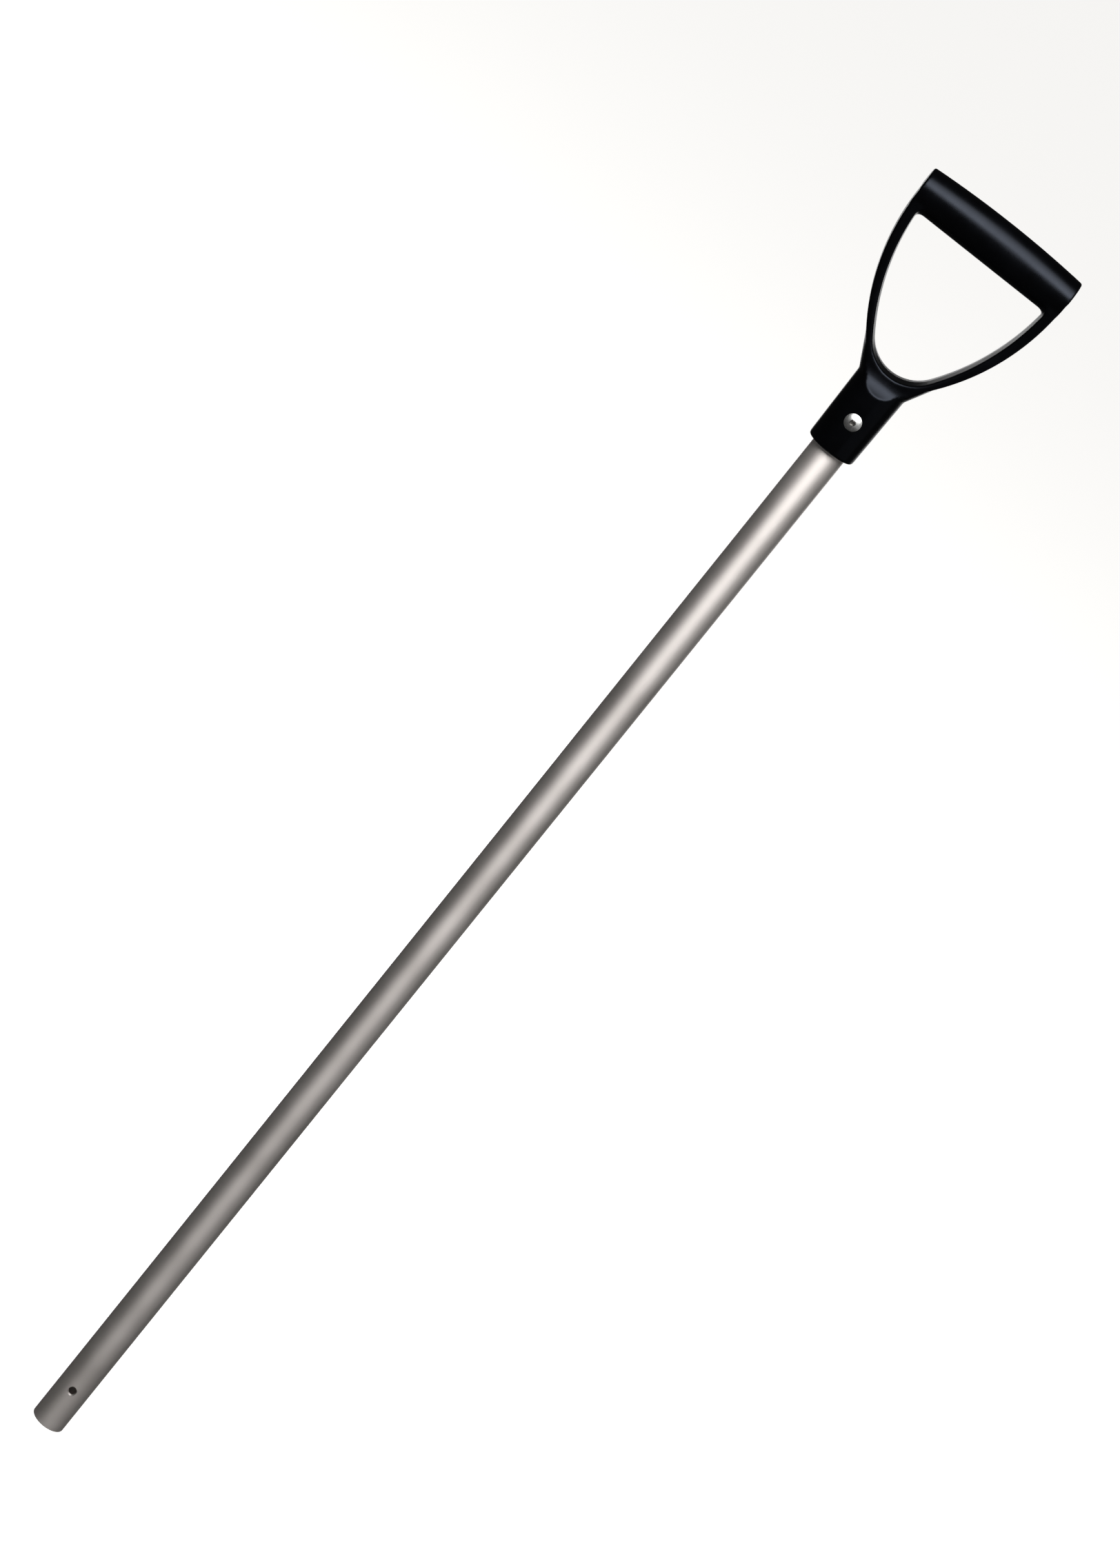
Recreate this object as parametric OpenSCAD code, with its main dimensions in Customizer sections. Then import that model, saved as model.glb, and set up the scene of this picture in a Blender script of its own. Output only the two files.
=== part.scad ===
// Shuffleboard cue: a straight aluminium tube with a moulded D-grip on its upper end.
// The tube goes into the grip's socket, and one blind rivet holds it there. The lower end is left
// plain, with one drilled hole for the fastener of a push head.
// Z runs up the tube from its lower end, X runs along the crossbar of the grip, and the rivet and
// the drilled hole face -Y. The grip is the same front and back, apart from the rivet's seat.

/* [Tube] */
// Outside diameter of the tube
tube_d = 25.4; // [20:0.1:32]
// Thickness of the tube's wall
tube_wall = 1.5; // [1:0.1:2.5]
// Length of the tube, with the part inside the grip
tube_len = 960; // [500:1:1600]
// Chamfer on the edges of the tube's ends
tube_edge = 0.25; // [0.1:0.05:0.4]

/* [Head hole] */
// Diameter of the hole for the push head's fastener
head_hole_d = 6.2; // [3:0.1:9]
// Height of the hole above the tube's lower end
head_hole_z = 36; // [12:0.5:120]

/* [Socket] */
// Depth of the tube in the socket
socket_depth = 52; // [40:1:90]
// Thickness of the socket's wall at its mouth
socket_wall = 4.9; // [4:0.1:8]
// Draft of the socket's outside, in degrees
socket_draft = 1; // [0.5:0.1:2]
// Chamfer round the socket's mouth, outside
mouth_edge = 0.8; // [0.3:0.1:1.5]
// Clearance between the tube and the socket, on the radius
socket_gap = 0.1; // [0.05:0.05:0.4]
// Clearance between the tube's end and the floor of the socket
seat_gap = 0.2; // [0.1:0.1:1]

/* [Neck] */
// Solid plastic between the floor of the socket and the hand opening, on the centre line
neck_floor = 10.7; // [8:0.1:20]
// Radius of the scoop that runs out of the socket's round front into the flat neck
scoop_r = 22; // [15:0.5:40]

/* [Hand opening] */
// Height of the hand opening on the centre line
hand_h = 91.3; // [80:0.1:120]
// Radius of the bottom of the hand opening
bow_r = 27; // [22:0.5:34]
// Radius in the corners between the arms and the crossbar
corner_r = 5.5; // [3:0.5:10]

/* [Arms] */
// Thickness of an arm at its middle
arm_t = 5.8; // [4.5:0.1:9]
// Thickness of an arm at its front and back edges
arm_edge_t = 3.8; // [2.5:0.1:4.4]
// Depth of an arm, front to back
arm_depth = 25; // [18:0.5:28]
// Distance from the end of the crossbar to the outside of an arm
arm_inset = 0.6; // [0.5:0.1:3]

/* [Crossbar] */
// Length of the crossbar
bar_len = 120; // [105:1:150]
// Diameter of the crossbar at its ends
bar_d = 29.5; // [29:0.5:38]
// Height of the crown on top of the crossbar
bar_crown = 2.4; // [1:0.1:5]
// Chamfer round the ends of the crossbar
bar_edge = 1.2; // [0.5:0.1:3]

/* [Rivet] */
// Height of the rivet above the socket's mouth
rivet_z = 26; // [15:0.5:32]
// Diameter of the rivet's shank
rivet_d = 6; // [4:0.1:6.4]
// Clearance of the shank in its holes, on the radius
rivet_gap = 0.1; // [0.05:0.05:0.2]
// Diameter of the rivet's domed head
rivet_head_d = 12; // [9:0.1:14]
// Height of the domed head
rivet_head_h = 2.4; // [1.5:0.1:3]
// Depth of the flat seat under the head, at its middle
seat_depth = 0.5; // [0.3:0.1:1]
// Diameter of the mandrel left in the rivet
mandrel_d = 3.4; // [2:0.1:3.6]

/* [Hidden] */
$fn = 96;

// A small overlap that makes cuts and joints clean
over = 1;

// Tube and socket
tube_bore_r = tube_d / 2 - tube_wall;
socket_bore_r = tube_d / 2 + socket_gap;
mouth_r = socket_bore_r + socket_wall;
mouth_z = tube_len + seat_gap - socket_depth;
socket_top_r = mouth_r + socket_depth * tan(socket_draft);
lead_in = mouth_edge;

// Levels above the socket's mouth
opening_z = socket_depth + neck_floor;
bar_z = opening_z + hand_h + bar_d / 2;
bow_z = opening_z + bow_r;

// Centre lines of the bow under the hand opening and of the arms, two arcs tangent to each other.
// The arms stand upright where they meet the crossbar's axis.
bow_mid_r = bow_r + arm_t / 2;
arm_x = bar_len / 2 - arm_inset - arm_t / 2;
arm_rise = bar_z - bow_z;
arm_mid_r = (arm_x * arm_x + arm_rise * arm_rise - bow_mid_r * bow_mid_r) / (2 * (arm_x - bow_mid_r));
arm_centre_x = arm_x - arm_mid_r;
arm_turn = atan2(arm_rise, -arm_centre_x);
knee_turn = 3;
knee_inset = 0.3;

// The neck flares from the socket to just inside the outer face of the two arcs where they meet
flare_sunk = 0.4;
flare_reach = bow_mid_r + arm_t / 2 - flare_sunk;
flare_r = flare_reach * cos(arm_turn);
flare_z = bow_z - flare_reach * sin(arm_turn);
scoop_z = opening_z - arm_t / 8;
scoop_y = arm_depth / 2 + scoop_r;

// Fillets that run round the crossbar from one face of an arm to the other, on its inner side
corner_reach = bar_d / 2 + corner_r;
arm_inner_r = arm_mid_r - arm_t / 2;
corner_x = arm_centre_x + sqrt(arm_inner_r * arm_inner_r - corner_reach * corner_reach) - corner_r;
corner_depth = arm_depth - 1;

// Crown of the crossbar: a slow arc that rises by the crown at mid-length
crown_r = (bar_len * bar_len / 4 + bar_crown * bar_crown) / (2 * bar_crown);
crown_turn = asin(bar_len / 2 / crown_r) + 1;

// Rivet, with distances along -Y from the tube's axis
rivet_hole_d = rivet_d + 2 * rivet_gap;
rivet_top_z = mouth_z + rivet_z;
seat_y = mouth_r + rivet_z * tan(socket_draft) - seat_depth;
seat_d = rivet_head_d + 0.6;
tail_d = rivet_d * 1.45;
tail_y = sqrt(tube_bore_r * tube_bore_r - tail_d * tail_d / 4) - 0.05;
tail_len = rivet_d * 0.75;
rim_h = 0.3;
dome_h = rivet_head_h - rim_h;
dome_r = (rivet_head_d * rivet_head_d / 4 + dome_h * dome_h) / (2 * dome_h);
mandrel_gap = 0.05;
mandrel_sunk = 0.35;
mandrel_head_d = rivet_d * 0.92;
mandrel_head_h = rivet_d * 0.3;

// A round piece whose axis is Y, from y0 to y1 in front of the tube's axis
module front_pin(d, y0, y1) {
    rotate([90, 0, 0])
        translate([0, 0, y0])
            cylinder(d = d, h = y1 - y0);
}

module shaft_tube() {
    color("gainsboro")
        difference() {
            rotate_extrude()
                polygon([
                    [tube_bore_r + tube_edge, 0],
                    [tube_d / 2 - tube_edge, 0],
                    [tube_d / 2, tube_edge],
                    [tube_d / 2, tube_len - tube_edge],
                    [tube_d / 2 - tube_edge, tube_len],
                    [tube_bore_r + tube_edge, tube_len],
                    [tube_bore_r, tube_len - tube_edge],
                    [tube_bore_r, tube_edge]
                ]);
            translate([0, 0, head_hole_z])
                front_pin(head_hole_d, 0, tube_d);
            translate([0, 0, rivet_top_z])
                front_pin(rivet_hole_d, 0, tube_d);
        }
}

// Cross-section of an arm, thickest at the middle: x is its thickness, y its depth.
// The inset, if any, is how far it lies inside the arm's faces.
module arm_section(inset) {
    middle = arm_t / 2 - inset;
    edge = arm_edge_t / 2 - inset;
    depth = arm_depth / 2 - inset;
    polygon([[-middle, 0], [-edge, -depth], [edge, -depth], [middle, 0], [edge, depth], [-edge, depth]]);
}

// An arm's section swept round an axis parallel to Y at (x, z), from one angle to another above +X
module arm_arc(x, z, r, from, to, inset = 0) {
    translate([x, 0, z])
        rotate([90, 0, 0])
            rotate([0, 0, from])
                rotate_extrude(angle = to - from)
                    translate([r, 0])
                        arm_section(inset);
}

module bow() {
    arm_arc(0, bow_z, bow_mid_r, 180 + arm_turn, 360 - arm_turn);
}

module arm() {
    arm_arc(arm_centre_x, bar_z, arm_mid_r, -arm_turn, 0);
}

// A core a little inside both faces, which ties the bow to an arm where the two arcs meet
module knee() {
    arm_arc(0, bow_z, bow_mid_r, 360 - arm_turn - knee_turn, 360 - arm_turn + knee_turn, knee_inset);
}

// The fillet between the inner face of an arm and the underside of the crossbar
module corner() {
    intersection() {
        translate([corner_x, 0, bar_z])
            rotate([0, 90, 0])
                rotate_extrude()
                    difference() {
                        square([corner_reach, corner_r + arm_t / 2]);
                        translate([corner_reach, 0])
                            circle(corner_r);
                    }
        translate([0, -corner_depth / 2, bar_z - corner_reach])
            cube([bar_len / 2, corner_depth, corner_reach]);
    }
}

module crossbar() {
    intersection() {
        union() {
            translate([0, 0, bar_z])
                rotate([0, 90, 0])
                    cylinder(d = bar_d, h = bar_len, center = true);
            translate([0, 0, bar_z + bar_crown - crown_r])
                rotate([90, 0, 0])
                    rotate([0, 0, 90 - crown_turn])
                        rotate_extrude(angle = 2 * crown_turn, $fn = 720)
                            translate([crown_r, 0])
                                circle(d = bar_d);
        }
        translate([0, 0, bar_z])
            for (side = [-90, 90])
                rotate([0, side, 0])
                    cylinder(
                        r1 = bar_d / 2 - bar_edge + bar_len / 2,
                        r2 = bar_d / 2 - bar_edge,
                        h = bar_len / 2
                    );
    }
}

// Outside of the socket and of the flared neck above it, before the scoops
module socket_blank() {
    rotate_extrude()
        polygon([
            [0, 0],
            [mouth_r - mouth_edge, 0],
            [mouth_r, mouth_edge],
            [socket_top_r, socket_depth],
            [flare_r, flare_z],
            [0, flare_z]
        ]);
}

// The scoop in front of the neck, and the space in front of the flat above it
module scoop() {
    translate([0, -scoop_y, scoop_z])
        rotate([0, 90, 0])
            cylinder(r = scoop_r, h = 4 * flare_r, center = true);
    translate([-2 * flare_r, -arm_depth / 2 - 2 * flare_r, scoop_z])
        cube([4 * flare_r, 2 * flare_r, flare_z - scoop_z + over]);
}

module socket_and_neck() {
    difference() {
        socket_blank();
        scoop();
        mirror([0, 1, 0])
            scoop();
        translate([0, 0, bow_z])
            rotate([90, 0, 0])
                cylinder(r = bow_r, h = 4 * flare_r, center = true);
    }
}

module d_grip() {
    color([0.07, 0.07, 0.08])
        translate([0, 0, mouth_z])
            difference() {
                union() {
                    socket_and_neck();
                    bow();
                    for (side = [0, 1])
                        mirror([side, 0, 0]) {
                            knee();
                            arm();
                            corner();
                        }
                    crossbar();
                }
                translate([0, 0, -over])
                    cylinder(r = socket_bore_r, h = socket_depth + over);
                translate([0, 0, -over])
                    cylinder(r1 = socket_bore_r + lead_in + over, r2 = socket_bore_r, h = lead_in + over);
                translate([0, 0, rivet_z]) {
                    front_pin(rivet_hole_d, 0, mouth_r + over);
                    front_pin(seat_d, seat_y, seat_y + seat_depth + over);
                }
            }
}

module rivet_body() {
    color("white")
        translate([0, 0, rivet_top_z])
            difference() {
                union() {
                    intersection() {
                        front_pin(rivet_head_d, seat_y, seat_y + rivet_head_h);
                        translate([0, dome_r - seat_y - rivet_head_h, 0])
                            sphere(r = dome_r);
                    }
                    front_pin(rivet_d, tail_y - tail_len / 2, seat_y);
                    front_pin(tail_d, tail_y - tail_len, tail_y);
                }
                front_pin(mandrel_d + 2 * mandrel_gap, 0, seat_y + rivet_head_h);
                front_pin(mandrel_head_d + 2 * mandrel_gap, 0, tail_y - tail_len + mandrel_head_h);
            }
}

module rivet_mandrel() {
    color("silver")
        translate([0, 0, rivet_top_z]) {
            front_pin(mandrel_d, tail_y - tail_len, seat_y + rivet_head_h - mandrel_sunk);
            front_pin(mandrel_head_d, tail_y - tail_len, tail_y - tail_len + mandrel_head_h);
        }
}

shaft_tube();
d_grip();
rivet_body();
rivet_mandrel();
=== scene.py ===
"""Shuffleboard cue: an aluminium tube in a moulded D-grip, held by one blind rivet.

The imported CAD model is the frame. The tube, the grip and the rivet are modelled finely here and
stand for their CAD nodes. Sizes are in millimetres and meshes in metres, in the frame's own axes:
Z runs up the tube, X along the crossbar of the grip, and the rivet and the drilled hole face -Y.
"""
import logging
import math
from dataclasses import dataclass, field
from enum import Enum

import bmesh
import bpy
from bpy.types import Material, NodeTree, Object
from mathutils import Matrix, Vector

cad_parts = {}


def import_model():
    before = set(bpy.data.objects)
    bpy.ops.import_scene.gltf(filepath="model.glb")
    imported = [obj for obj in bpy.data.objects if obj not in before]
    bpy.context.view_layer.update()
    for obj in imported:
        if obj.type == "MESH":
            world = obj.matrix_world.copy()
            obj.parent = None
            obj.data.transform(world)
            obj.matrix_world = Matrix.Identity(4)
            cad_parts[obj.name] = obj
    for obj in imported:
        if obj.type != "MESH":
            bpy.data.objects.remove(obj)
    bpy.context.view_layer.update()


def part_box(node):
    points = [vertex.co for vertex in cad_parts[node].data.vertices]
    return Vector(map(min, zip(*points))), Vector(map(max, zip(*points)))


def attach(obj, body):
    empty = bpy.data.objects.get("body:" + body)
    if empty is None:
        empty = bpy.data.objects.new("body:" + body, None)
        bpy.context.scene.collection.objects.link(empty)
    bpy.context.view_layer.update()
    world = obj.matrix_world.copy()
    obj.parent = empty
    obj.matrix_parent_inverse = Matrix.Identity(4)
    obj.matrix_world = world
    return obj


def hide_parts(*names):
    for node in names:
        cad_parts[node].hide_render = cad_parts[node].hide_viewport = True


MM = 0.001
MERGE_MM = 1e-4  # corners closer than this are one corner
FLAT_DEG = 0.05  # faces that turn by less than this are one flat face
OVER_MM = 1.0  # how far a cutter runs past what it cuts
NOISE_LOW, NOISE_HIGH = 0.3, 0.7  # the range that most of a noise texture lies in
MIX_FACTOR, MIX_A, MIX_B, MIX_RESULT = 0, 6, 7, 2  # colour sockets of a Mix node, by number
BODY = "root"
log = logging.getLogger("cue")


class Axis(Enum):
    """The frame axis that a turned shape spins round."""

    X = (1.0, 0.0, 0.0)
    Y = (0.0, 1.0, 0.0)
    Z = (0.0, 0.0, 1.0)


class Join(Enum):
    """How one shape is joined to another."""

    DIFFERENCE = "DIFFERENCE"
    INTERSECT = "INTERSECT"


# ---------------------------------------------------------------- mesh helpers


def new_object(name: str, mesh: bmesh.types.BMesh) -> Object:
    """Turns a finished bmesh in millimetres into an object at the origin, in metres.

    Args:
        name: name of the object and of its mesh.
        mesh: the bmesh, which is freed.

    Returns:
        The new object, linked to the scene.
    """
    bmesh.ops.scale(mesh, vec=(MM, MM, MM), verts=mesh.verts)
    data = bpy.data.meshes.new(name)
    mesh.to_mesh(data)
    mesh.free()
    made = bpy.data.objects.new(name, data)
    bpy.context.scene.collection.objects.link(made)
    return made


def turned(name: str, profile: list[tuple[float, float]], axis: Axis, at: tuple[float, float, float],
           steps: int) -> Object:
    """Spins a closed half-outline into a round solid.

    Args:
        name: name of the object.
        profile: corners as (distance from the axis, place along the axis), in millimetres.
        axis: the axis that it spins round.
        at: a point on the axis, in millimetres.
        steps: number of segments round the axis.

    Returns:
        The closed solid.
    """
    mesh = bmesh.new()
    along = Vector(axis.value)
    out = Vector((0.0, 0.0, 1.0)) if axis is not Axis.Z else Vector((1.0, 0.0, 0.0))
    corners = [mesh.verts.new(Vector(at) + out * r + along * h) for r, h in profile]
    edges = [mesh.edges.new(pair) for pair in zip(corners, corners[1:] + corners[:1])]
    bmesh.ops.spin(mesh, geom=corners + edges, cent=at, axis=axis.value, angle=math.tau,
                   steps=steps, use_merge=True, use_duplicate=False)
    bmesh.ops.remove_doubles(mesh, verts=mesh.verts, dist=MERGE_MM)
    slivers = [e for e in mesh.edges if not e.link_faces]
    bmesh.ops.delete(mesh, geom=slivers, context="EDGES")
    bmesh.ops.dissolve_limit(mesh, angle_limit=math.radians(FLAT_DEG), verts=mesh.verts,
                             edges=mesh.edges, use_dissolve_boundaries=False)
    bmesh.ops.recalc_face_normals(mesh, faces=mesh.faces)
    return new_object(name, mesh)


def block(name: str, low: tuple[float, float, float], high: tuple[float, float, float]) -> Object:
    """Makes a box between two corners.

    Args:
        name: name of the object.
        low: its lowest corner, in millimetres.
        high: its highest corner, in millimetres.

    Returns:
        The closed box.
    """
    mesh = bmesh.new()
    bmesh.ops.create_cube(mesh, size=1.0)
    low_corner, high_corner = Vector(low), Vector(high)
    bmesh.ops.scale(mesh, vec=high_corner - low_corner, verts=mesh.verts)
    bmesh.ops.translate(mesh, vec=(low_corner + high_corner) / 2, verts=mesh.verts)
    return new_object(name, mesh)


def apply_modifiers(piece: Object) -> None:
    """Bakes an object's modifiers into its mesh.

    Args:
        piece: the object, which gets a new mesh and loses its modifiers.
    """
    graph = bpy.context.evaluated_depsgraph_get()
    baked = bpy.data.meshes.new_from_object(piece.evaluated_get(graph))
    old = piece.data
    piece.modifiers.clear()
    piece.data = baked
    bpy.data.meshes.remove(old)


def joined(piece: Object, tool: Object, how: Join) -> Object:
    """Joins a tool shape to a piece and removes the tool.

    Args:
        piece: the shape that stays.
        tool: the shape that is added, cut away or kept in common.
        how: the kind of join.

    Returns:
        The piece.
    """
    cut = piece.modifiers.new("join", "BOOLEAN")
    cut.operation = how.value
    cut.solver = "EXACT"
    cut.object = tool
    apply_modifiers(piece)
    bpy.data.objects.remove(tool)
    return piece


def gathered(piece: Object, others: list[Object]) -> Object:
    """Puts closed shapes that overlap into one piece's mesh, as they are.

    Args:
        piece: the shape that stays.
        others: the shapes whose meshes it takes over, which are removed.

    Returns:
        The piece.
    """
    mesh = bmesh.new()
    for shape in (piece, *others):
        mesh.from_mesh(shape.data)
    mesh.to_mesh(piece.data)
    mesh.free()
    for shape in others:
        bpy.data.objects.remove(shape)
    return piece


def shade(piece: Object, sharp_deg: float) -> None:
    """Shades a piece smooth, with a crisp edge wherever its faces turn by more than an angle."""
    piece.data.shade_smooth()
    piece.data.set_sharp_from_angle(angle=math.radians(sharp_deg))


# ---------------------------------------------------------------- material helpers


def linear(hex_code: str) -> tuple[float, float, float, float]:
    """Turns an sRGB colour into a linear one by the curve of the sRGB standard.

    Args:
        hex_code: the colour, as # and six hexadecimal digits.

    Returns:
        Red, green, blue and an alpha of 1, as the shaders take them.
    """
    channels = [int(hex_code[i:i + 2], 16) / 255 for i in (1, 3, 5)]
    lit = [c / 12.92 if c <= 0.04045 else ((c + 0.055) / 1.055) ** 2.4 for c in channels]
    return (*lit, 1.0)


def add_node(tree: NodeTree, kind: str, inputs: dict | None = None, links: dict | None = None,
             **settings) -> bpy.types.Node:
    """Adds one node to a tree.

    Args:
        tree: the node tree.
        kind: the node's type.
        inputs: values of its inputs, by name or number.
        links: output sockets that feed its inputs, by name or number.
        settings: properties of the node itself.

    Returns:
        The new node.
    """
    node = tree.nodes.new(kind)
    for name, value in settings.items():
        setattr(node, name, value)
    for key, value in (inputs or {}).items():
        node.inputs[key].default_value = value
    for key, socket in (links or {}).items():
        tree.links.new(socket, node.inputs[key])
    return node


def new_material(name: str) -> tuple[Material, NodeTree]:
    """Makes an empty node material.

    Args:
        name: its name.

    Returns:
        The material and its node tree.
    """
    made = bpy.data.materials.new(name)
    made.use_nodes = True
    made.node_tree.nodes.clear()
    return made, made.node_tree


# ---------------------------------------------------------------- finishes


@dataclass(frozen=True)
class GroundAluminium:
    """Aluminium tube, satin-ground on a belt and then wiped: grinding lines too fine to see run
    round it and spread its sheen lengthwise, so a light shows as one long soft band, and a few
    faint rubbed patches turn the sheen a little."""

    name: str = "satin_ground_aluminium"
    light_tone: str = "#E9E4E1"
    dark_tone: str = "#DDD6D1"
    metallic: float = 0.94
    roughness: float = 0.62
    rub: float = 0.05
    anisotropy: float = 0.66
    quarter_turn: float = 0.25
    line_mm: float = 0.35
    line_run_mm: float = 30.0
    line_height_mm: float = 0.004
    patch_mm: float = 40.0

    def build(self) -> Material:
        """Builds the node material.

        Returns:
            The material.
        """
        material, tree = new_material(self.name)
        place = add_node(tree, "ShaderNodeTexCoord").outputs["Object"]
        # Grinding lines: noise drawn out round the tube and fine along it
        run, fine = 1 / (self.line_run_mm * MM), 1 / (self.line_mm * MM)
        stretched = add_node(tree, "ShaderNodeMapping", {"Scale": (run, run, fine)},
                             {"Vector": place})
        lines = add_node(tree, "ShaderNodeTexNoise", {"Scale": 1.0, "Detail": 3.0, "Roughness": 0.6},
                         {"Vector": stretched.outputs[0]})
        # Rubbed patches: slow noise that shifts the tone and the roughness
        patches = add_node(tree, "ShaderNodeTexNoise",
                           {"Scale": 1 / (self.patch_mm * MM), "Detail": 2.0}, {"Vector": place})
        tone = add_node(tree, "ShaderNodeMix",
                        {MIX_A: linear(self.dark_tone), MIX_B: linear(self.light_tone)},
                        {MIX_FACTOR: patches.outputs["Fac"]}, data_type="RGBA")
        rough = add_node(tree, "ShaderNodeMapRange",
                         {"From Min": NOISE_LOW, "From Max": NOISE_HIGH,
                          "To Min": self.roughness - self.rub,
                          "To Max": self.roughness + self.rub}, {"Value": patches.outputs["Fac"]})
        bump = add_node(tree, "ShaderNodeBump",
                        {"Strength": 1.0, "Distance": self.line_height_mm * MM},
                        {"Height": lines.outputs["Fac"]})
        # The tangent runs round the tube, and the quarter turn makes the sheen rougher lengthwise
        around = add_node(tree, "ShaderNodeTangent", direction_type="RADIAL", axis="Z")
        shader = add_node(tree, "ShaderNodeBsdfPrincipled",
                          {"Metallic": self.metallic, "Anisotropic": self.anisotropy,
                           "Anisotropic Rotation": self.quarter_turn},
                          {"Base Color": tone.outputs[MIX_RESULT], "Roughness": rough.outputs[0],
                           "Normal": bump.outputs[0], "Tangent": around.outputs[0]})
        add_node(tree, "ShaderNodeOutputMaterial", None, {"Surface": shader.outputs[0]})
        return material


@dataclass(frozen=True)
class MouldedPolypropylene:
    """Black injection-moulded polypropylene from a semi-polished tool: a deep black with a soft
    bluish sheen, a very fine orange-peel skin, and a faint mould parting line on its mid-plane."""

    name: str = "moulded_black_polypropylene"
    deep_tone: str = "#010101"
    worn_tone: str = "#030304"
    sheen_tone: str = "#DDE8FF"
    sheen_level: float = 0.12
    ior: float = 1.49
    roughness: float = 0.3
    rub: float = 0.05
    skin_mm: float = 1.6
    skin_height_mm: float = 0.006
    scuff_mm: float = 22.0
    scuff_low: float = 0.3
    scuff_high: float = 0.75
    seam_half_mm: float = 0.18
    seam_height_mm: float = 0.08

    def build(self) -> Material:
        """Builds the node material.

        Returns:
            The material.
        """
        material, tree = new_material(self.name)
        place = add_node(tree, "ShaderNodeTexCoord").outputs["Object"]
        scuffs = add_node(tree, "ShaderNodeTexNoise",
                          {"Scale": 1 / (self.scuff_mm * MM), "Detail": 5.0, "Roughness": 0.65},
                          {"Vector": place})
        skin = add_node(tree, "ShaderNodeTexNoise",
                        {"Scale": 1 / (self.skin_mm * MM), "Detail": 2.0}, {"Vector": place})
        tone = add_node(tree, "ShaderNodeMix",
                        {MIX_A: linear(self.deep_tone), MIX_B: linear(self.worn_tone)},
                        {MIX_FACTOR: scuffs.outputs["Fac"]}, data_type="RGBA")
        rough = add_node(tree, "ShaderNodeMapRange",
                         {"From Min": self.scuff_low, "From Max": self.scuff_high,
                          "To Min": self.roughness - self.rub,
                          "To Max": self.roughness + self.rub}, {"Value": scuffs.outputs["Fac"]})
        # Parting line: a low ridge where Y is zero
        sides = add_node(tree, "ShaderNodeSeparateXYZ", None, {"Vector": place})
        off_plane = add_node(tree, "ShaderNodeMath", None, {0: sides.outputs["Y"]},
                             operation="ABSOLUTE")
        ridge = add_node(tree, "ShaderNodeMapRange",
                         {"From Min": 0.0, "From Max": self.seam_half_mm * MM, "To Min": 1.0,
                          "To Max": 0.0}, {"Value": off_plane.outputs[0]},
                         interpolation_type="SMOOTHSTEP")
        skin_bump = add_node(tree, "ShaderNodeBump",
                             {"Strength": 1.0, "Distance": self.skin_height_mm * MM},
                             {"Height": skin.outputs["Fac"]})
        seam_bump = add_node(tree, "ShaderNodeBump",
                             {"Strength": 1.0, "Distance": self.seam_height_mm * MM},
                             {"Height": ridge.outputs[0], "Normal": skin_bump.outputs[0]})
        shader = add_node(tree, "ShaderNodeBsdfPrincipled",
                          {"IOR": self.ior, "Specular IOR Level": self.sheen_level,
                           "Specular Tint": linear(self.sheen_tone)},
                          {"Base Color": tone.outputs[MIX_RESULT], "Roughness": rough.outputs[0],
                           "Normal": seam_bump.outputs[0]})
        add_node(tree, "ShaderNodeOutputMaterial", None, {"Surface": shader.outputs[0]})
        return material


@dataclass(frozen=True)
class SetMetal:
    """Metal of a set blind rivet: bright where the setting tool burnished it, with fine handling
    marks that turn the sheen here and there."""

    name: str
    light_tone: str
    dark_tone: str
    roughness: float
    rub: float = 0.06
    mark_mm: float = 0.8
    mark_height_mm: float = 0.01

    def build(self) -> Material:
        """Builds the node material.

        Returns:
            The material.
        """
        material, tree = new_material(self.name)
        place = add_node(tree, "ShaderNodeTexCoord").outputs["Object"]
        marks = add_node(tree, "ShaderNodeTexNoise",
                         {"Scale": 1 / (self.mark_mm * MM), "Detail": 4.0, "Roughness": 0.6},
                         {"Vector": place})
        tone = add_node(tree, "ShaderNodeMix",
                        {MIX_A: linear(self.dark_tone), MIX_B: linear(self.light_tone)},
                        {MIX_FACTOR: marks.outputs["Fac"]}, data_type="RGBA")
        rough = add_node(tree, "ShaderNodeMapRange",
                         {"From Min": NOISE_LOW, "From Max": NOISE_HIGH,
                          "To Min": self.roughness - self.rub,
                          "To Max": self.roughness + self.rub}, {"Value": marks.outputs["Fac"]})
        bump = add_node(tree, "ShaderNodeBump",
                        {"Strength": 1.0, "Distance": self.mark_height_mm * MM},
                        {"Height": marks.outputs["Fac"]})
        shader = add_node(tree, "ShaderNodeBsdfPrincipled", {"Metallic": 1.0},
                          {"Base Color": tone.outputs[MIX_RESULT], "Roughness": rough.outputs[0],
                           "Normal": bump.outputs[0]})
        add_node(tree, "ShaderNodeOutputMaterial", None, {"Surface": shader.outputs[0]})
        return material


# Aluminium body of the rivet, burnished by the nose of the setting tool
RIVET_ALUMINIUM = SetMetal("burnished_rivet_aluminium", "#F4F4F2", "#E2E2E0", 0.38)
# Steel mandrel, with the dull grey face that it has where it snapped
MANDREL_STEEL = SetMetal("snapped_steel_mandrel", "#8A8884", "#55534F", 0.38)


# ---------------------------------------------------------------- the cue's pieces


@dataclass
class Piece:
    """One visible piece of the cue and the CAD node that it stands for."""

    node: str
    slot: str

    def finish(self, made: Object, material: Material) -> Object:
        """Names a built mesh, dresses it and puts it on the frame in place of its node.

        Args:
            made: the finished mesh object.
            material: its material.

        Returns:
            The same object.
        """
        made.name = f"{self.node}_fine"
        made.data.name = made.name
        made.data.materials.clear()
        made.data.materials.append(material)
        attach(made, BODY)
        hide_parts(self.node)
        log.info("%s: %d faces", made.name, len(made.data.polygons))
        return made


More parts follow.
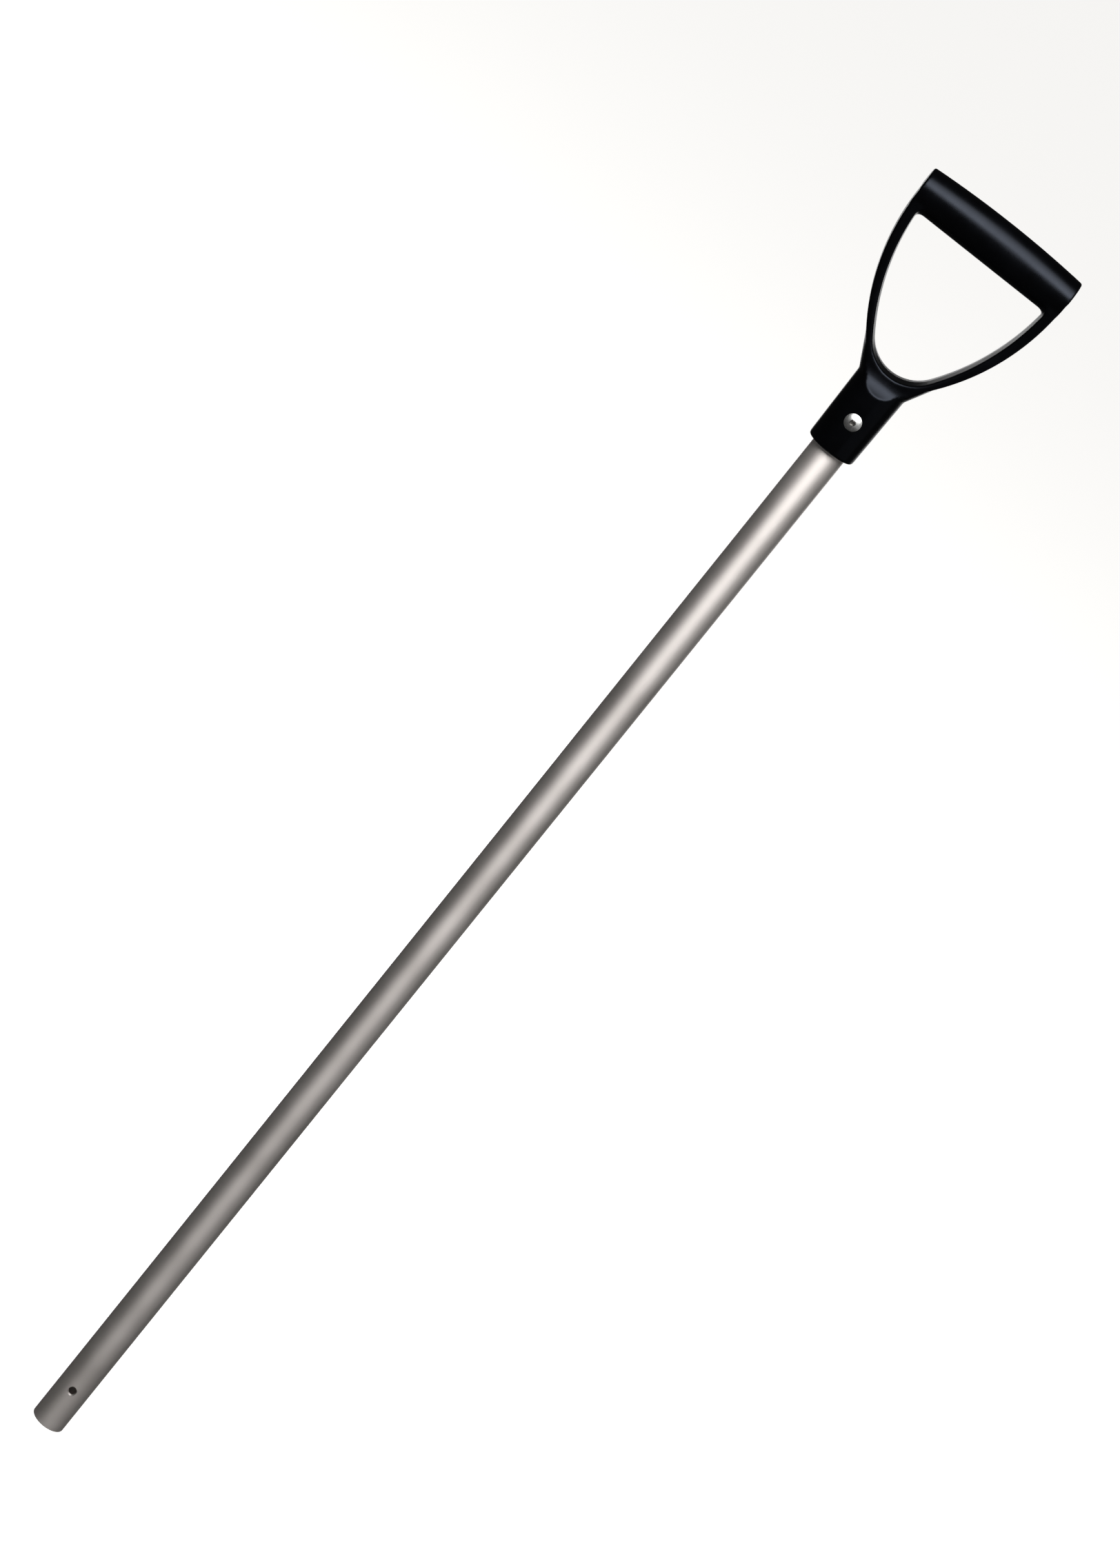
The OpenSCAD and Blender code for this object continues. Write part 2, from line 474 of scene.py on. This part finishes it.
@dataclass
class ShaftTube(Piece):
    """The aluminium tube, with deburred ends, the push head's hole and the rivet's hole."""

    node: str = "shaft_tube"
    slot: str = "shaft_aluminium"
    wall: float = 1.5
    end_round: float = 0.3
    hole_d: float = 6.2
    hole_z: float = 36.0
    rivet_hole_d: float = 6.2
    rivet_z: float = 934.2
    burr: float = 0.35
    rim_deg: float = 60.0
    rim_cuts: int = 3
    ring_gap: float = 9.92
    sharp_deg: float = 28.0
    steps: int = 160
    drill_steps: int = 48

    def build(self) -> Object:
        """Returns the finished tube."""
        low, high = (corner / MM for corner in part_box(self.node))
        outer, length = high.x, high.z - low.z
        bore = outer - self.wall
        tube = turned(self.node, [(bore, 0), (outer, 0), (outer, length), (bore, length)],
                      Axis.Z, (0, 0, low.z), self.steps)
        self.round_ends(tube)
        for diameter, height in ((self.hole_d, self.hole_z), (self.rivet_hole_d, self.rivet_z)):
            drill = self.drill(diameter / 2, outer, height)
            joined(tube, drill, Join.DIFFERENCE)
        shade(tube, self.sharp_deg)
        return self.finish(tube, GroundAluminium().build())

    def round_ends(self, tube: Object) -> None:
        """Rounds the four rims of a plain tube and adds rings near its holes.

        Args:
            tube: the tube, before it is drilled.
        """
        mesh = bmesh.new()
        mesh.from_mesh(tube.data)
        rim_turn = math.radians(self.rim_deg)
        rims = [e for e in mesh.edges if e.is_manifold and e.calc_face_angle() > rim_turn]
        bmesh.ops.bevel(mesh, geom=rims, offset=self.end_round * MM, segments=self.rim_cuts,
                        profile=0.5, affect="EDGES", material=-1, clamp_overlap=True)
        for height in (self.hole_z, self.rivet_z):
            for side in (-1, 1):
                cut_z = (height + side * self.ring_gap) * MM
                bmesh.ops.bisect_plane(mesh, geom=mesh.verts[:] + mesh.edges[:] + mesh.faces[:],
                                       plane_co=(0, 0, cut_z), plane_no=(0, 0, 1))
        bmesh.ops.recalc_face_normals(mesh, faces=mesh.faces)
        mesh.to_mesh(tube.data)
        mesh.free()

    def drill(self, radius: float, outer: float, height: float) -> Object:
        """A drill with a countersink that takes the burr off the tube's outside.

        Args:
            radius: radius of the hole.
            outer: outside radius of the tube.
            height: height of the hole.

        Returns:
            The cutter, in front of the tube's axis.
        """
        skin = -math.sqrt(outer * outer - radius * radius)
        reach = 2 * self.wall
        profile = [(0, -outer / 2), (radius, -outer / 2), (radius, skin + self.burr),
                   (radius + self.burr + reach, skin - reach), (0, skin - reach)]
        return turned("drill", profile, Axis.Y, (0, 0, height), self.drill_steps)


@dataclass
class DGrip(Piece):
    """The moulded D-grip. Heights are above the socket's mouth."""

    node: str = "d_grip"
    slot: str = "grip_plastic"
    mouth_z: float = field(init=False)
    mouth_r: float = 17.7
    draft_deg: float = 1.0
    mouth_edge: float = 0.9
    socket_depth: float = 52.0
    bore_r: float = 12.8
    opening_z: float = 63.9
    bar_z: float = 171.2
    bar_half: float = 60.6
    bar_r: float = 14.5
    crown: float = 2.4
    crown_cuts: int = 12
    depth: float = 25.0
    draft: float = 0.8
    end_draft: float = 0.4
    arc_z: float = 168.0
    outer_x: float = -94.45
    outer_r: float = 155.05
    inner_x: float = -107.23
    inner_r: float = 159.43
    flare_from: float = 54.0
    flare_r: float = 30.4
    flare_z: float = 76.0
    scoop_r: float = 23.0
    scoop_z: float = 63.6
    corner_r: float = 5.5
    corner_step_deg: int = 10
    rivet_z: float = 26.0
    rivet_hole_d: float = 6.2
    seat_d: float = 12.6
    seat_y: float = 17.55
    overlap: float = 2.0
    voxel: float = 0.75
    smoothing: int = 6
    sharp_deg: float = 35.0
    steps: int = 192

    def __post_init__(self) -> None:
        """Reads the height of the socket's mouth off the CAD node."""
        self.mouth_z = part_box(self.node)[0].z / MM

    def build(self) -> Object:
        """Returns the finished grip."""
        grip = self.hoop()
        gathered(grip, [self.socket(), self.crossbar(), *self.corners()])
        self.skin(grip)
        self.machine(grip)
        shade(grip, self.sharp_deg)
        return self.finish(grip, MouldedPolypropylene().build())

    def level(self, height: float) -> float:
        """Returns the height above the floor of a height above the socket's mouth."""
        return self.mouth_z + height

    def disc(self, name: str, x: float, z: float, radius: float, bulge: float, half: float,
             steps: int) -> Object:
        """A flat disc across Y whose rim is drafted from its middle.

        Args:
            name: name of the object.
            x: place of its centre.
            z: height of its centre.
            radius: radius at the middle of its rim.
            bulge: how much smaller the radius is at the front and back of the arms.
            half: half its thickness.
            steps: number of segments.

        Returns:
            The disc.
        """
        rim = radius - bulge * half / (self.depth / 2)
        profile = [(0, -half), (rim, -half), (radius, 0), (rim, half), (0, half)]
        return turned(name, profile, Axis.Y, (x, 0, self.level(z)), steps)

    def lens(self, name: str, x: float, radius: float, bulge: float, half: float) -> Object:
        """What two discs side by side have in common: the shape between the two arms' arcs.

        Args:
            name: name of the object.
            x: place of the centre of one disc; the other lies opposite.
            radius: radius of both.
            bulge: how much smaller the radius is at the front and back of the arms.
            half: half the thickness of both.

        Returns:
            The lens.
        """
        fine = 4 * self.steps
        right = self.disc(name, x, self.arc_z, radius, bulge, half, fine)
        left = self.disc(name + "_left", -x, self.arc_z, radius, bulge, half, fine)
        return joined(right, left, Join.INTERSECT)

    def slab(self, name: str, low: float, high: float) -> Object:
        """A box wider and deeper than the grip between two heights."""
        wide = 2 * self.bar_half
        return block(name, (-wide, -wide, self.level(low)), (wide, wide, self.level(high)))

    def bow_circle(self) -> tuple[float, float]:
        """Returns the centre's height and the radius of the circle at the bottom of the opening.

        It touches both inner arcs of the arms and the opening's lowest point.
        """
        reach = self.inner_r + self.opening_z
        centre_z = (reach ** 2 - self.inner_x ** 2 - self.arc_z ** 2) / (2 * (reach - self.arc_z))
        return centre_z, centre_z - self.opening_z

    def bow(self) -> Object:
        """Returns the cutter for the round bottom of the opening."""
        bow_z, bow_r = self.bow_circle()
        return self.disc("bow", 0, bow_z, bow_r, -self.draft, self.depth, self.steps)

    def hoop(self) -> Object:
        """Returns the two arms and the bow between them, as one hoop that is open at the bar."""
        hoop = self.lens("hoop", self.outer_x, self.outer_r, self.draft, self.depth / 2)
        joined(hoop, self.slab("below_bar", self.opening_z - self.overlap, self.bar_z), Join.INTERSECT)
        bow_z, bow_r = self.bow_circle()
        touch_z = self.arc_z + (bow_z - self.arc_z) * self.inner_r / (self.inner_r - bow_r)
        opening = self.lens("opening", self.inner_x, self.inner_r, -self.draft, self.depth)
        joined(opening, self.slab("above_touch", touch_z, self.bar_z + OVER_MM), Join.INTERSECT)
        joined(hoop, opening, Join.DIFFERENCE)
        return joined(hoop, self.bow(), Join.DIFFERENCE)

    def socket(self) -> Object:
        """Returns the drafted socket and the flared neck, with the scoop in its front and back."""
        top_r = self.mouth_r + self.flare_from * math.tan(math.radians(self.draft_deg))
        edge = self.mouth_edge
        profile = [(0, 0), (self.mouth_r - edge, 0), (self.mouth_r, edge), (top_r, self.flare_from),
                   (self.flare_r, self.flare_z), (0, self.flare_z)]
        socket = turned("socket", profile, Axis.Z, (0, 0, self.level(0)), self.steps)
        half, wide = self.depth / 2, 2 * self.flare_r
        for side in (-1, 1):
            scoop = turned("scoop", [(0, -wide), (self.scoop_r, -wide), (self.scoop_r, wide), (0, wide)],
                           Axis.X, (0, side * (half + self.scoop_r), self.level(self.scoop_z)),
                           self.steps)
            joined(socket, scoop, Join.DIFFERENCE)
            front, back = sorted((side * half, side * wide))
            flat = block("flat", (-wide, front, self.level(self.scoop_z)),
                         (wide, back, self.level(self.flare_z + OVER_MM)))
            joined(socket, flat, Join.DIFFERENCE)
        return joined(socket, self.bow(), Join.DIFFERENCE)

    def crossbar(self) -> Object:
        """Returns the crowned crossbar, with ends that follow the arms below its axis."""
        bar = turned("crossbar", [(0, -self.bar_half), (self.bar_r, -self.bar_half),
                                  (self.bar_r, self.bar_half), (0, self.bar_half)],
                     Axis.X, (0, 0, self.level(self.bar_z)), self.steps)
        mesh = bmesh.new()
        mesh.from_mesh(bar.data)
        for cut in range(1 - self.crown_cuts, self.crown_cuts):
            bmesh.ops.bisect_plane(mesh, geom=mesh.verts[:] + mesh.edges[:] + mesh.faces[:],
                                   plane_co=(cut / self.crown_cuts * self.bar_half * MM, 0, 0),
                                   plane_no=(1, 0, 0))
        axis_z = self.level(self.bar_z)
        for vert in mesh.verts:
            up = (vert.co.z / MM - axis_z) / self.bar_r
            out = vert.co.x / MM / self.bar_half
            if up > 0:
                vert.co.z += self.crown * up * (1 - out * out) * MM
        mesh.to_mesh(bar.data)
        mesh.free()
        ends = self.slab("bar_ends", self.bar_z - 2 * self.bar_r, self.bar_z)
        between = self.lens("between_arms", self.outer_x, self.outer_r, self.end_draft, 2 * self.bar_r)
        joined(ends, between, Join.DIFFERENCE)
        return joined(bar, ends, Join.DIFFERENCE)

    def corners(self) -> list[Object]:
        """Returns the two fillets between the arms and the underside of the crossbar."""
        reach, size = self.bar_r + self.corner_r, self.corner_r
        wall = self.inner_x + self.inner_r + self.draft
        half = self.depth / 2 - self.draft / 2
        made = []
        for side in (-1, 1):
            turns = [math.radians(a) for a in range(0, 91, self.corner_step_deg)]
            profile = [(0, side * (wall + self.overlap)), (0, side * (wall - size))]
            profile += [(reach - size * math.cos(t), side * (wall - size + size * math.sin(t)))
                        for t in turns]
            profile += [(reach, side * (wall + self.overlap))]
            ring = turned("corner", profile, Axis.X, (0, 0, self.level(self.bar_z)), self.steps)
            under = block("under", (-self.bar_half, -half, self.level(self.bar_z - reach)),
                          (self.bar_half, half, self.level(self.bar_z)))
            made.append(joined(ring, under, Join.INTERSECT))
        return made

    def skin(self, grip: Object) -> None:
        """Melts the gathered solids into one even skin and softens its edges, as a mould does.

        Args:
            grip: the gathered solids.
        """
        remesh = grip.modifiers.new("skin", "REMESH")
        remesh.mode = "VOXEL"
        remesh.voxel_size = self.voxel * MM
        apply_modifiers(grip)
        mesh = bmesh.new()
        mesh.from_mesh(grip.data)
        for _ in range(self.smoothing):
            bmesh.ops.smooth_vert(mesh, verts=mesh.verts, factor=0.5, use_axis_x=True,
                                  use_axis_y=True, use_axis_z=True)
        mesh.to_mesh(grip.data)
        mesh.free()

    def machine(self, grip: Object) -> None:
        """Cuts the tube's bore, the rivet's hole and the rivet's seat.

        Args:
            grip: the skinned grip.
        """
        lead_in = self.mouth_edge
        bore = turned("bore", [(0, -OVER_MM), (self.bore_r + lead_in + OVER_MM, -OVER_MM),
                               (self.bore_r, lead_in), (self.bore_r, self.socket_depth),
                               (0, self.socket_depth)],
                      Axis.Z, (0, 0, self.level(0)), self.steps)
        joined(grip, bore, Join.DIFFERENCE)
        hole_r, seat_r = self.rivet_hole_d / 2, self.seat_d / 2
        outside, inside = -self.seat_y - 3 * OVER_MM, -self.bore_r / 2
        hole = turned("hole", [(0, outside), (seat_r, outside), (seat_r, -self.seat_y),
                               (hole_r, -self.seat_y), (hole_r, inside), (0, inside)],
                      Axis.Y, (0, 0, self.level(self.rivet_z)), self.steps // 2)
        joined(grip, hole, Join.DIFFERENCE)


@dataclass
class RivetBody(Piece):
    """The blind rivet's body: domed head outside, bulged tail inside the tube."""

    node: str = "rivet_body"
    slot: str = "rivet_aluminium"
    shank_r: float = 3.0
    bore_r: float = 1.75
    bore_flare: float = 0.35
    bore_edge: float = 0.75
    tail_h: float = 4.5
    # The tail swells behind the tube's wall and rolls in round the mandrel's ball: (distance from
    # the axis, place behind the tail's start)
    tail_outline: tuple[tuple[float, float], ...] = (
        (3.0, -1.0), (3.9, -0.2), (4.35, 0.8), (4.35, 3.3), (3.65, 4.2), (2.65, 4.5), (1.75, 4.4))
    head_h: float = 2.4
    rim_h: float = 0.3
    dome_cuts: int = 10
    sharp_deg: float = 40.0
    steps: int = 96

    def build(self) -> Object:
        """Returns the finished rivet body."""
        low, high = (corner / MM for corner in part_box(self.node))
        head_r, front, back = high.x, low.y, high.y
        seat, tail = front + self.head_h, back - self.tail_h
        profile = self.dome(head_r, front) + [(head_r, seat), (self.shank_r, seat)]
        profile += [(r, tail + h) for r, h in self.tail_outline]
        profile += [(self.bore_r, front + self.bore_edge)]
        body = turned(self.node, profile, Axis.Y, (0, 0, (low.z + high.z) / 2), self.steps)
        shade(body, self.sharp_deg)
        return self.finish(body, RIVET_ALUMINIUM.build())

    def dome(self, head_r: float, front: float) -> list[tuple[float, float]]:
        """The curve of the head, from the edge of its bore to its rim.

        Args:
            head_r: radius of the head.
            front: place of the dome's top along Y.

        Returns:
            Points as (distance from the axis, place along the axis).
        """
        dome_h = self.head_h - self.rim_h
        dome_r = (head_r ** 2 + dome_h ** 2) / (2 * dome_h)
        rim_turn = math.asin(head_r / dome_r)
        bore_turn = math.asin((self.bore_r + self.bore_flare) / dome_r)
        turns = [bore_turn + (rim_turn - bore_turn) * i / self.dome_cuts
                 for i in range(self.dome_cuts + 1)]
        return [(dome_r * math.sin(t), front + dome_r * (1 - math.cos(t))) for t in turns]


@dataclass
class RivetMandrel(Piece):
    """What is left of the rivet's mandrel: a snapped stem and the ball head behind it."""

    node: str = "rivet_mandrel"
    slot: str = "mandrel_steel"
    stem_r: float = 1.7
    # A ragged cup, with a pit, a raised rim and a worn edge: (distance from the axis, place behind
    # the front)
    snapped_end: tuple[tuple[float, float], ...] = ((0.0, 0.25), (0.935, 0.1), (1.36, 0.0), (1.7, 0.3))
    ball_h: float = 1.8
    ball_slope: float = 0.5
    # The ball's outline: (share of its radius, place in front of the back)
    ball_outline: tuple[tuple[float, float], ...] = (
        (0.85, 1.8), (1.0, 1.26), (1.0, 0.63), (0.75, 0.1), (0.0, 0.0))
    sharp_deg: float = 40.0
    steps: int = 64

    def build(self) -> Object:
        """Returns the finished mandrel."""
        low, high = (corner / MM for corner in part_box(self.node))
        front, back, ball_r = low.y, high.y, high.x
        profile = [(r, front + h) for r, h in self.snapped_end]
        profile += [(self.stem_r, back - self.ball_h - self.ball_slope)]
        profile += [(ball_r * share, back - h) for share, h in self.ball_outline]
        mandrel = turned(self.node, profile, Axis.Y, (0, 0, (low.z + high.z) / 2), self.steps)
        shade(mandrel, self.sharp_deg)
        return self.finish(mandrel, MANDREL_STEEL.build())


# ---------------------------------------------------------------- studio


@dataclass(frozen=True)
class Softbox:
    """One rectangular studio light, aimed at a point on the cue's axis. Lengths are in metres."""

    name: str
    azimuth: float
    elevation: float
    distance: float
    width: float
    height: float
    radiance: float
    centre_z: float = 0.8
    lift_deg: float = 0.0
    spread_deg: float = 180.0

    def build(self) -> None:
        """Adds the light to the scene."""
        data = bpy.data.lights.new(self.name, "AREA")
        data.shape = "RECTANGLE"
        data.size, data.size_y = self.width, self.height
        # A one-sided area light of this power shows the stated radiance
        data.energy = self.radiance * math.pi * self.width * self.height
        data.spread = math.radians(self.spread_deg)
        light = bpy.data.objects.new(self.name, data)
        bpy.context.scene.collection.objects.link(light)
        turn, rise = math.radians(self.azimuth), math.radians(self.elevation)
        back = Vector((math.sin(turn) * math.cos(rise), -math.cos(turn) * math.cos(rise),
                       math.sin(rise)))
        light.location = Vector((0, 0, self.centre_z)) + back * self.distance
        faced = (-back).to_track_quat("-Z", "Y").to_matrix()
        lifted = faced @ Matrix.Rotation(math.radians(self.lift_deg), 3, "X")
        light.rotation_euler = lifted.to_euler()


@dataclass
class Studio:
    """Pale floor, soft lights, a plain backdrop colour and the camera. Lengths are in metres."""

    lens_mm: float = 95.93
    sensor_mm: float = 36.0
    reach: float = 2.703
    camera_z: float = 1.435
    azimuth: float = -3.0
    tilt_deg: float = 16.916
    roll_deg: float = 38.84
    floor_size: float = 60.0
    floor_tone: str = "#F2F1EF"
    floor_glow: float = 1.0
    floor_roughness: float = 0.9
    surround_tone: str = "#F4F4F3"
    surround_dim: float = 0.03
    lights: list[Softbox] = field(default_factory=lambda: [
        Softbox("key", azimuth=8.0, elevation=50.0, distance=1.6, width=2.7, height=1.45,
                radiance=2.8, centre_z=1.08, lift_deg=16.0, spread_deg=80.0),
        Softbox("side_fill", azimuth=60.0, elevation=0.0, distance=2.2, width=2.4, height=2.0,
                radiance=0.2),
        Softbox("back_fill", azimuth=170.0, elevation=0.0, distance=2.2, width=2.4, height=1.0,
                radiance=1.2, centre_z=0.6),
    ])

    def build(self) -> None:
        """Builds the whole studio."""
        self.camera()
        self.floor()
        self.backdrop()
        for light in self.lights:
            light.build()
        bpy.context.scene.view_settings.view_transform = "Standard"

    def camera(self) -> None:
        """Adds the camera, rolled so that the cue leans to the right."""
        data = bpy.data.cameras.new("camera")
        data.lens, data.sensor_width = self.lens_mm, self.sensor_mm
        camera = bpy.data.objects.new("camera", data)
        bpy.context.scene.collection.objects.link(camera)
        turn, tilt = math.radians(self.azimuth), math.radians(self.tilt_deg)
        camera.location = (self.reach * math.sin(turn), -self.reach * math.cos(turn), self.camera_z)
        facing = Vector((-math.sin(turn) * math.cos(tilt), math.cos(turn) * math.cos(tilt),
                         -math.sin(tilt)))
        level = facing.to_track_quat("-Z", "Y").to_matrix()
        rolled = level @ Matrix.Rotation(math.radians(self.roll_deg), 3, "Z")
        camera.rotation_euler = rolled.to_euler()
        bpy.context.scene.camera = camera

    def floor(self) -> None:
        """Adds the pale floor that the tube's end stands on. It keeps out of reflections."""
        mesh = bmesh.new()
        bmesh.ops.create_grid(mesh, x_segments=1, y_segments=1, size=self.floor_size / MM / 2)
        floor = new_object("floor", mesh)
        material, tree = new_material("pale_floor")
        shader = add_node(tree, "ShaderNodeBsdfPrincipled",
                          {"Base Color": linear(self.floor_tone), "Roughness": self.floor_roughness,
                           "Emission Color": linear(self.floor_tone),
                           "Emission Strength": self.floor_glow})
        add_node(tree, "ShaderNodeOutputMaterial", None, {"Surface": shader.outputs[0]})
        floor.data.materials.append(material)
        floor.visible_glossy = False

    def backdrop(self) -> None:
        """Sets a plain surround: pale to the eye, dim in reflections."""
        world = bpy.data.worlds.new("surround")
        bpy.context.scene.world = world
        world.use_nodes = True
        tree = world.node_tree
        tree.nodes.clear()
        path = add_node(tree, "ShaderNodeLightPath")
        dim = add_node(tree, "ShaderNodeBackground",
                       {"Color": linear("#FFFFFF"), "Strength": self.surround_dim})
        pale = add_node(tree, "ShaderNodeBackground",
                        {"Color": linear(self.surround_tone), "Strength": 1.0})
        mix = add_node(tree, "ShaderNodeMixShader", None,
                       {0: path.outputs["Is Camera Ray"], 1: dim.outputs[0], 2: pale.outputs[0]})
        add_node(tree, "ShaderNodeOutputWorld", None, {"Surface": mix.outputs[0]})


def main() -> None:
    """Loads the frame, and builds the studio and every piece."""
    logging.basicConfig(level=logging.INFO, format="%(name)s: %(message)s")
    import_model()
    Studio().build()
    for piece in (ShaftTube(), DGrip(), RivetBody(), RivetMandrel()):
        piece.build()


if __name__ == "__main__":
    main()
